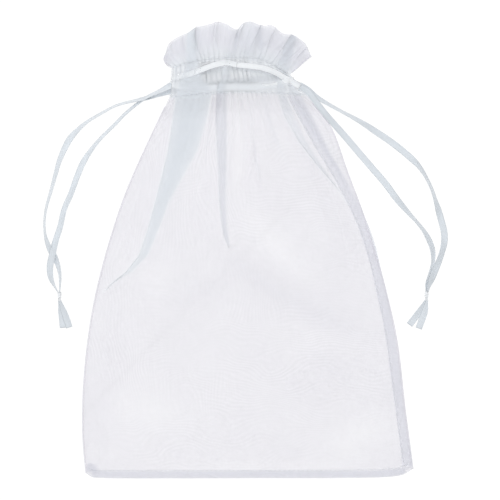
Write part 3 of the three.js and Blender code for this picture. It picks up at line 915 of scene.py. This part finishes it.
def lengthwise(zone, t, ply):
    """How far up the cloth a row is, before it was gathered."""
    starts = {"body": 0, "casing": BODY_LENGTH, "ruffle": BODY_LENGTH + CASING_LENGTH}
    spans = {"body": BODY_LENGTH, "casing": CASING_LENGTH, "ruffle": RUFFLE_LENGTH}
    up = starts[zone] + spans[zone] * t
    return up if ply == 0 else 2 * sum(spans.values()) - up


def fold_height(zone, t, middle_y):
    """Where a row stands in the fold tables: the body's own y, then on through the casing and the ruffle."""
    if zone == "body":
        return middle_y
    if zone == "casing":
        return FOLDS_CASING + (FOLDS_RUFFLE - FOLDS_CASING) * t
    return FOLDS_RUFFLE + FOLDS_SPAN * t


def fold_borders(folds, y):
    """The borders and the tint of each fold at height y, left to right, without those that have run out."""
    found = []
    for tint, fold in folds:
        ys, lefts, rights = (np.array(column)[::-1] for column in zip(*fold))
        left, right = np.interp(y, ys, lefts), np.interp(y, ys, rights)
        if ys[0] <= y <= ys[-1] and right - left > FOLD_LEAST:
            found.append((left, right, tint))
    return sorted(found)


def fold_row(borders, left, right, columns):
    """Where each column of cloth lies along a row, its height, and how far it is inside a flat fold.
    The cloth runs to a fold's right border, back under itself to its left border, and on."""
    stops = [(left, 0.0, 0.0)]
    for start, end, tint in borders:
        ease = FOLD_GAP * min((end - start) / 2.0, 1.0)
        stops += [(start - FOLD_STEP, 0.0, 0.0), (start, 0.0, tint), (end, 0.0, tint), (end, ease, tint)]
        stops += [(start, ease, tint), (start, 2 * ease, tint), (end, 2 * ease, tint)]
        stops += [(end + FOLD_STEP, 1.8 * ease, 0.0), (end + FOLD_RUN, 0.0, 0.0)]
    stops.append((right, 0.0, 0.0))
    x, z, inside = np.array(stops).T
    x = np.clip(x, left, right)
    run = np.concatenate([[0], np.cumsum(np.abs(np.diff(x)) + 1e-4)])
    fine = np.linspace(0, run[-1], FOLD_SAMPLES)
    at = np.linspace(0, run[-1], columns)
    radius = FOLD_ROUND * FOLD_SAMPLES / run[-1]
    rounded = ((x, 0.5 * radius), (z, radius), (inside, 0.3 * radius))
    return [np.interp(at, fine, soften(np.interp(fine, run, row), reach)) for row, reach in rounded]


def gather_strength(zone, t, u, seed):
    """How strongly the cloth is bunched by the ribbon: full in the casing, dying out down the body."""
    longer = np.clip(noise(u * 34, 0.5, seed + 3) + 0.3, 0, 1) ** 2
    reach = GATHER_LEAST + (GATHER_MOST - GATHER_LEAST) * longer
    if zone == "body":
        return np.exp(-(1 - t) * BODY_LENGTH / reach)
    if zone == "casing":
        return np.ones_like(u)
    return 1 - smooth_step(t * 1.25)


def ruffle_wave(u, t, seed):
    """The header's own broader waves, which open towards its top: height and sideways lean."""
    broad = 2 * math.pi * (7.4 * u + 0.6 * noise(u * 6, 0.2, seed + 8))
    small = 2 * math.pi * (19 * u + 0.7 * noise(u * 9, 0.7, seed + 9))
    grow = smooth_step(t * 1.15)
    height = grow * (2.0 * np.sin(broad) + 0.8 * np.sin(small))
    lean = grow * (1.1 * np.cos(broad) + 0.45 * np.cos(small))
    return height, lean


def soft_fold(place, line, width):
    """A soft roll in the cloth along a line of points, dying out at both ends."""
    samples = smooth_line(line, 60)
    offset = place[:, None, :] - samples[None, :, :2]
    distance = np.linalg.norm(offset, axis=2)
    nearest = distance.argmin(axis=1)
    fade = np.sin(math.pi * (nearest + 0.5) / len(samples))
    return fade * np.exp(-((distance.min(axis=1) / width) ** 2))


def over_ribbon(place, route):
    """1 on the cloth of the front casing that lies over a ribbon's route, and 0 away from it."""
    samples = smooth_line(route, 80)
    distance = np.linalg.norm(place[:, None, :] - samples[None, :, :2], axis=2).min(axis=1)
    start, end = RIBBON_FADES
    return np.exp(-((distance / RIBBON_REACH) ** 4)) * smooth_step((place[:, 0] - start) / (end - start))


def front_height(zone, t, across):
    """The middle height of the front leaf: it lies low at its borders and stands up between."""
    arch = np.sin(math.pi * across)
    header = FRONT_HEADER + FRONT_ARCH * arch**1.5
    if zone != "body":
        return header
    body = FRONT_EDGE + (1.0 + FRONT_PUFF * smooth_step(t / 0.6)) * arch**1.15
    share = smooth_step((t - FRONT_RISE) / (1 - FRONT_RISE))
    return body * (1 - share) + header * share


def back_height(zone, t, across):
    """The middle height of the back leaf: flat on the floor, and lifted a little by its own facing."""
    if zone == "body":
        share = smooth_step((t - BACK_RISE) / (1 - BACK_RISE))
        return BACK_FLOOR * (1 - share) + BACK_HEADER * share
    return np.full_like(across, BACK_HEADER)


def quiet_ends(u):
    """1 along a row, and down to 0 at both its ends."""
    return np.clip(np.sin(math.pi * u) * 6, 0, 1)


def wrinkles(place, front, seed):
    """The small unevenness of a leaf's height, and on the front one its broad swells and soft rolls."""
    x, y = place[:, 0], place[:, 1]
    height = 0.16 * noise(x / 9, y / 7, seed + 5) + 0.07 * noise(x / 3.1, y / 3.4, seed + 6)
    if front:
        height += 0.8 * noise(x / 34 + 5, y / 46, seed + 4)
        for line, width, rise in SOFT_FOLDS:
            height += rise * soft_fold(place, line, width)
    return height


def leaf_row(side, zone, t, ply, folds, seed):
    """One row of a leaf: places, and how far each is inside a flat fold."""
    edges = ZONES[zone]
    ends = patch(*edges, np.array([0.0, 1.0]), t)
    left, right = ends[0, 0], ends[1, 0]
    span = right - left
    borders = fold_borders(folds, fold_height(zone, t, ends[:, 1].mean()))
    x, lift, inside = fold_row(borders, left, right, LEAF_COLUMNS)
    flat = np.clip((x - left) / span, 0, 1)
    phase = 2 * math.pi * (GATHER_WAVES * flat + 0.6 * noise(flat * 12, 0.1, seed + 1))
    depth = 0.85 + 0.3 * noise(flat * 22, 0.4, seed + 2)
    gather = gather_strength(zone, t, flat, seed) * (1 - 0.7 * inside)
    if side == "front" and zone == "casing" and ply == 0:
        for route, _ in RIBBONS_SHOWING:
            gather = gather * (1 - 0.95 * over_ribbon(patch(*edges, flat, t), route))
    wave_height, wave_lean = GATHERS[side][ply]
    wave = wave_height * depth * (1 + np.cos(phase)) * gather
    fan, fan_lean = ruffle_wave(flat, t, seed) if zone == "ruffle" else (0.0, 0.0)
    x = x - gather * wave_lean * span * np.sin(phase) + fan_lean * quiet_ends(flat)
    u = (x - left) / span
    across = np.clip(u, 0, 1)
    place = patch(*edges, across, t)
    place[:, 0] += (u - across) * span
    quiet = quiet_ends(across)
    wrinkle = wrinkles(place, side == "front", seed) * quiet
    outward = 1.0 if side == "front" else -1.0
    base = front_height(zone, t, across) if side == "front" else back_height(zone, t, across)
    if zone == "body":
        join = smooth_step((t - PLIES_PART) / (1 - PLIES_PART))
        z = base + lift + (wrinkle + wave) * (1 - join) + join * outward * (CASING_ROOM + wave)
    else:
        opened = smooth_step(t) if zone == "ruffle" else 0.0
        room = (CASING_ROOM + wave) * (1 - opened) + RUFFLE_ROOM * opened
        z = base + (-outward if ply else outward) * room + FLARE[side] * opened
        z = z + fan * FAN[side] + 0.6 * lift + 0.5 * wrinkle * opened
        place[:, 1] += (0.06 * fan - SHORTER[side] * opened) * quiet
    return np.column_stack([place, np.maximum(z, LEAST_HEIGHT + PLY_HEIGHT * ply), inside])


def leaf_places(side, folds, seed):
    """A leaf's grid of places, its cloth coordinates, how densely its cloth lies, with painted shade and
    light along the front leaf's soft rolls, and how far it is folded.
    """
    rows = leaf_rows()
    across = np.linspace(0, LEAF_WIDTH, LEAF_COLUMNS)
    grid = np.array([leaf_row(side, *row, folds, seed) for row in rows])
    cloth = np.array([np.column_stack([across, np.full_like(across, lengthwise(*row))]) for row in rows])
    plan, folded = grid[..., :2], grid[..., 3]
    tone = np.ones(plan.shape[:2])
    for row, (zone, t, _) in enumerate(rows):
        if side == "front" and row <= BODY_END:
            # Closer or more open weave by the pleats, and painted shade and light along the soft rolls.
            for line, width, strength in WEAVE_TONES_AND_PAINTED_SHADE:
                tone[row] += strength * soft_fold(plan[row], line, width)
        if side == "front" and BODY_END <= row < CASING_END:
            for route, shows in RIBBONS_SHOWING:
                tone[row] -= shows * over_ribbon(plan[row], route)
            tone[row] = np.maximum(tone[row], LEAST_TONE)
        if zone == "casing":
            folded[row] = 1
        if zone == "ruffle":
            shade = sum(how * soft_fold(plan[row], line, width) for line, width, how in RUFFLE_SHADES)
            tone[row] = RUFFLE_TONE + SHADE_TONE * shade
            folded[row] = np.maximum(np.maximum(folded[row], SHADE_TINT * shade), 1 - smooth_step(1.6 * t))
    return grid[..., :3], cloth, tone, folded


def follow_side(piece):
    """Cloth between the middle of the bag and one side edge, with its transform baked into its mesh."""
    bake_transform(piece)


def leaf_part(name, leaf, rows, columns, material, fuzz=0.0, thickest=THICKEST):
    """Some rows and columns of a leaf as one sheet, with the whole leaf's normals."""
    places, cloth, tone, folded = leaf
    piece = grid_object(name, places, material, cloth, rows, columns, tone, folded, fuzz, thickest)
    return piece


def make_leaves(body_cloth, header_cloth):
    """Both leaves, each as a body and a header in two halves that meet edge to edge."""
    made = {}
    body_rows, header_rows = slice(0, BODY_END + 1), slice(BODY_END, None)
    for side, folds, seed in (("back", BACK_FOLDS, 40), ("front", FRONT_FOLDS, 20)):
        leaf = leaf_places(side, folds, seed)
        made[side] = leaf[0]
        for hand, columns in (("left", slice(0, COLUMN_SPLIT + 1)), ("right", slice(COLUMN_SPLIT, None))):
            body = leaf_part(f"{side}_leaf_{hand}", leaf, body_rows, columns, body_cloth)
            header = leaf_part(
                f"{side}_header_{hand}", leaf, header_rows, columns, header_cloth,
                HEADER_FUZZ, HEADER_THICKEST,
            )
            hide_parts(f"{side}_panel")
            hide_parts(f"{side}_casing", f"{side}_ruffle")
            follow_side(body)
            follow_side(header)
    return made


# ---------------------------------------------------------------- edges, allowances and small folds


def make_side_edge(hand, leaves, material):
    """The cloth turning from the back leaf to the front leaf down one side, and up the side of the ruffle."""
    column, outward = (0, -1.0) if hand == "left" else (-1, 1.0)
    turn = np.linspace(0, math.pi, 9)
    share = (0.5 - 0.5 * np.cos(turn))[None, :, None]
    runs = {"body": slice(0, BODY_END - 3), "ruffle": slice(CASING_END + 2, RUFFLE_END)}
    pieces = {}
    for zone, rows in runs.items():
        back, front = leaves["back"][rows, column], leaves["front"][rows, column]
        bulge = np.minimum(0.35 * np.abs(front[:, 2] - back[:, 2]), EDGE_BULGE)
        places = back[:, None] * (1 - share) + front[:, None] * share
        places[:, :, 0] += outward * bulge[:, None] * np.sin(turn)
        inward = -outward * EDGE_FLAP
        first, last = back + [inward, 0, EDGE_TUCK], front + [inward, 0, -EDGE_TUCK]
        places = np.concatenate([first[:, None], places, last[:, None]], axis=1)
        around = np.cumsum(np.ones(places.shape[:2]), axis=1)
        uv = np.stack([around, places[:, :, 1]], axis=-1)
        piece = grid_object(f"{hand}_{zone}_edge", places, material, uv)
        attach(piece, f"{hand}_side")
        pieces[zone] = piece
    return pieces


def folded_strip(name, inner, outer, passes, height, material, tone=1.0):
    """Cloth folded back and forth between two lines, pass over pass, with its flat width and length."""
    steps = 7
    share = np.concatenate([np.linspace(i % 2, (i + 1) % 2, steps) for i in range(passes)])
    level = np.concatenate([np.full(steps, i * STRIP_GAP) for i in range(passes)])
    share, level = soften(share, 0.6), soften(level, 1.1)
    at = np.arange(len(inner))[:, None]
    wander = 0.05 * noise(at / 9.0, share[None, :] * 2, 71)
    place = inner[:, None] + (outer - inner)[:, None] * (share[None, :, None] + wander[..., None])
    unevenness = 0.06 * noise(at / 6.0, level[None, :] * 4, 72)
    z = np.broadcast_to(height + level, place.shape[:2]) + unevenness
    places = np.concatenate([place, z[..., None]], axis=-1)
    width = np.linalg.norm(outer - inner, axis=1).mean()
    run = run_along(inner)
    across = np.cumsum(np.abs(np.diff(share, prepend=share[0]))) * width
    uv = np.stack(np.broadcast_arrays(across[None, :], run[:, None]), axis=-1)
    piece = grid_object(name, places, material, uv, tone=tone, folded=STRIP_TINT)
    return piece, passes * width, run[-1]


def band_line(border, samples):
    """The inner (1) or outer (2) border of the right seam's allowance in plan."""
    return smooth_line([(row[border], row[0]) for row in RIGHT_BAND], samples)


def make_allowances(material):
    """The seam allowances, turned in twice, down the right side and along the bottom."""
    name, inner, outer = "right_seam_allowance_strip", band_line(1, 240), band_line(2, 240)
    piece, width, length = folded_strip(name, inner, outer, ALLOWANCE_PLIES, BAND_HEIGHT, material)
    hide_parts("right_seam_allowance")
    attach(piece, "right_side")
    start, end = BOTTOM_SEAM
    seam = BOTTOM[(BOTTOM[:, 0] > start) & (BOTTOM[:, 0] < end)]
    split = int(np.searchsorted(seam[:, 0], MIDDLE_X))
    for hand, line in (("left", seam[: split + 1]), ("right", seam[split:])):
        inner, outer = line + [0, BOTTOM_ALLOWANCE], line + [0, BOTTOM_INSET]
        name = f"bottom_seam_allowance_{hand}"
        piece, width, length = folded_strip(
            name, inner, outer, ALLOWANCE_PLIES, BOTTOM_HEIGHT, material, BOTTOM_TONE,
        )
        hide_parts("bottom_seam_allowance")
        follow_side(piece)


def make_corner_folds(material):
    """The little folds where the bottom seam's corners are turned in."""
    for name, hand, plies, inner, outer in CORNER_FOLDS:
        low, high = smooth_line(inner, 24), smooth_line(outer, 24)
        piece, _, _ = folded_strip(name, low, high, plies, CORNER_HEIGHT, material)
        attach(piece, f"{hand}_side")


# ---------------------------------------------------------------- stitching


def stitch_mesh(name, line, material):
    """A row of small separate stitches of thread, each dipping into the cloth at both ends."""
    vertices, faces = [], []
    angle = np.linspace(0, 2 * math.pi, STITCH_SIDES, endpoint=False)[None, :, None]
    share = np.linspace(0, 1, 6)
    dip = (2 * share - 1) ** 4
    radius = THREAD_RADIUS * (1 - 0.35 * dip)[:, None, None]
    run = run_along(line)
    for start in np.arange(0, run[-1] - STITCH, STITCH + STITCH_GAP):
        at = start + share * STITCH
        centre = np.stack([np.interp(at, run, line[:, k]) for k in range(3)], axis=1)
        centre[:, 2] -= np.sign(centre[:, 2] - STITCH_TURN) * STITCH_DIP * dip
        way = unit(np.gradient(centre, axis=0))
        side = unit(np.cross(way, UP))
        face = np.cross(side, way)
        ring = side[:, None] * np.cos(angle) + face[:, None] * np.sin(angle)
        faces += tube_faces(len(vertices), len(at), STITCH_SIDES)
        vertices += (centre[:, None] + radius * ring).reshape(-1, 3).tolist()
    return new_object(name, vertices, faces, material)


def on_surface(line, name, lift):
    """Points of a plan line laid on top of a made sheet."""
    obj = bpy.data.objects[name]
    tree = BVHTree.FromPolygons([v.co for v in obj.data.vertices], [p.vertices for p in obj.data.polygons])
    found = []
    for x, y in line:
        hit = tree.ray_cast(Vector((x * MM, y * MM, ABOVE_ALL * MM)), Vector((0, 0, -1)))[0]
        if hit is not None:
            found.append((x, y, hit.z / MM + lift))
    return np.array(found)


def make_stitches(name, line, stands_for, material):
    """One row of stitches that stands for a CAD row."""
    piece = stitch_mesh(name, line, material)
    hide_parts(stands_for)
    return piece


def make_stitching(leaves, material):
    """Both rows of each casing, the bottom seam and the right seam."""
    for side, lift in (("front", THREAD_RADIUS), ("back", -THREAD_RADIUS)):
        for which, row in (("lower", BODY_END), ("upper", CASING_END)):
            line = leaves[side][row] + [0, 0, lift]
            line[:, 2] = np.maximum(line[:, 2], THREAD_RADIUS + THREAD_CLEARANCE)
            node = f"{side}_casing_{which}_stitching"
            for hand, part in (("left", line[2 : COLUMN_SPLIT + 1]), ("right", line[COLUMN_SPLIT:-2])):
                piece = make_stitches(f"{side}_casing_{which}_stitches_{hand}", part, node, material)
                follow_side(piece)
    seam = leaves["front"][SEAM_ROW][4:-4, :2]
    for hand, part in (("left", seam[: COLUMN_SPLIT - 3]), ("right", seam[COLUMN_SPLIT - 4 :])):
        line = on_surface(part, f"front_leaf_{hand}", THREAD_RADIUS)
        piece = make_stitches(f"bottom_seam_stitches_{hand}", line, "bottom_seam_stitching", material)
        follow_side(piece)
    line = on_surface(band_line(1, 300) + [RIGHT_SEAM_INSET, 0], "front_leaf_right", THREAD_RADIUS)
    piece = make_stitches("right_seam_stitches", line, "right_seam_stitching", material)
    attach(piece, "right_side")


# ---------------------------------------------------------------- ribbons inside the casings


def casing_point(x, y, side):
    """The middle of a casing's room at x, y."""
    across = np.clip((x - LOW[0, 0]) / (LOW[-1, 0] - LOW[0, 0]), 0, 1)
    height = front_height("casing", 0, across) if side == "front" else BACK_HEADER
    return (x, y, float(height))


def loop_mesh(name, centre, material):
    """A ribbon inside the casings, its width kept across the bag wherever it runs."""
    way = unit(np.gradient(centre, axis=0))
    up_bag = np.array([0.0, 1.0, 0.0])
    across = unit(up_bag - way * (way @ up_bag)[:, None])
    twist = 0.22 * noise(np.arange(len(centre)) / 14.0, 0.3, 81)
    return ribbon_mesh(name, centre, way, across, twist, material, LOOP_WIDTH)


def loop_line(front_run, back_run, turn_way):
    """The middle of a loop: along the front casing, round its far end, and back along the back casing."""
    points = [casing_point(x, y, "front") for x, y in front_run]
    (x, y, top), (_, back_y) = points[-1], back_run[-1]
    for share in (0.2, 0.5, 0.8):
        bulge = TURN_BULGE * turn_way * math.sin(math.pi * share)
        points.append((x + bulge, y + (back_y - y) * share, top + (BACK_HEADER - top) * share))
    points += [casing_point(x, y, "back") for x, y in back_run[::-1]]
    return smooth_line(points, int(route_length(points) / LOOP_STEP))


def make_loops(face, back):
    """Each ribbon's run through both casings, in three parts: the front run, the turn and the back run."""
    loops = (
        ("left", "right", loop_line(LEFT_LOOP_FRONT, LEFT_LOOP_BACK, 1.0)),
        ("right", "left", loop_line(RIGHT_LOOP_FRONT, RIGHT_LOOP_BACK, -1.0)),
    )
    for hand, other, line in loops:
        far_side = line[:, 0] > MIDDLE_X if hand == "left" else line[:, 0] < MIDDLE_X
        first, last = np.flatnonzero(far_side)[[0, -1]]
        # face, on the front run and the turn, and back, on the back run, are lighter copies of the ribbon's
        # satin: painted light.
        parts = (
            ("front_run", line[: first + 1], hand, face),
            ("turn", line[first : last + 1], other, face),
            ("back_run", line[last:], hand, back),
        )
        for name, part, follows, material in parts:
            piece = loop_mesh(f"{hand}_ribbon_{name}", part, material)
            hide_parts(f"{hand}_drawstring_loop")
            follow_side(piece)


# ---------------------------------------------------------------- put together

organza = organza_material(
    "organza", colour=(0.89, 0.872, 0.905), folded_colour=(0.915, 0.93, 0.95),
    open_share=0.50, ripple=0.05, glow=0.3,
)
doubled = organza_material(
    "doubled_organza", colour=(0.89, 0.885, 0.925), folded_colour=(0.955, 0.968, 0.985),
    open_share=0.66, ripple=0.02, glow=0.4,
)
satin = satin_material("satin_ribbon", colour=(0.85, 0.88, 0.91), gloss=0.6, glow=0.12)
# The ribbon's satin made lighter: painted light on the knots and on the runs along the front casing and round
# the turns.
satin_painted_light = satin_material("satin_ribbon_painted_light", colour=(0.96, 0.97, 0.99), gloss=0.9, glow=0.0)
# The ribbon's satin made lighter, which is painted light, and more translucent, for its runs in the back
# casing.
satin_back_painted_light = satin_material("satin_ribbon_back_painted_light", colour=(0.93, 0.945, 0.965), gloss=0.4, glow=0.55)
thread = thread_material("sewing_thread", colour=(0.80, 0.82, 0.85))

make_camera()
make_cords(satin, satin_painted_light)
make_studio()
leaves = make_leaves(organza, doubled)
left_edge = make_side_edge("left", leaves, organza)
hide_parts("left_fold_edge")
make_side_edge("right", leaves, organza)
make_allowances(doubled)
make_corner_folds(doubled)
make_loops(satin_painted_light, satin_back_painted_light)
make_stitching(leaves, thread)
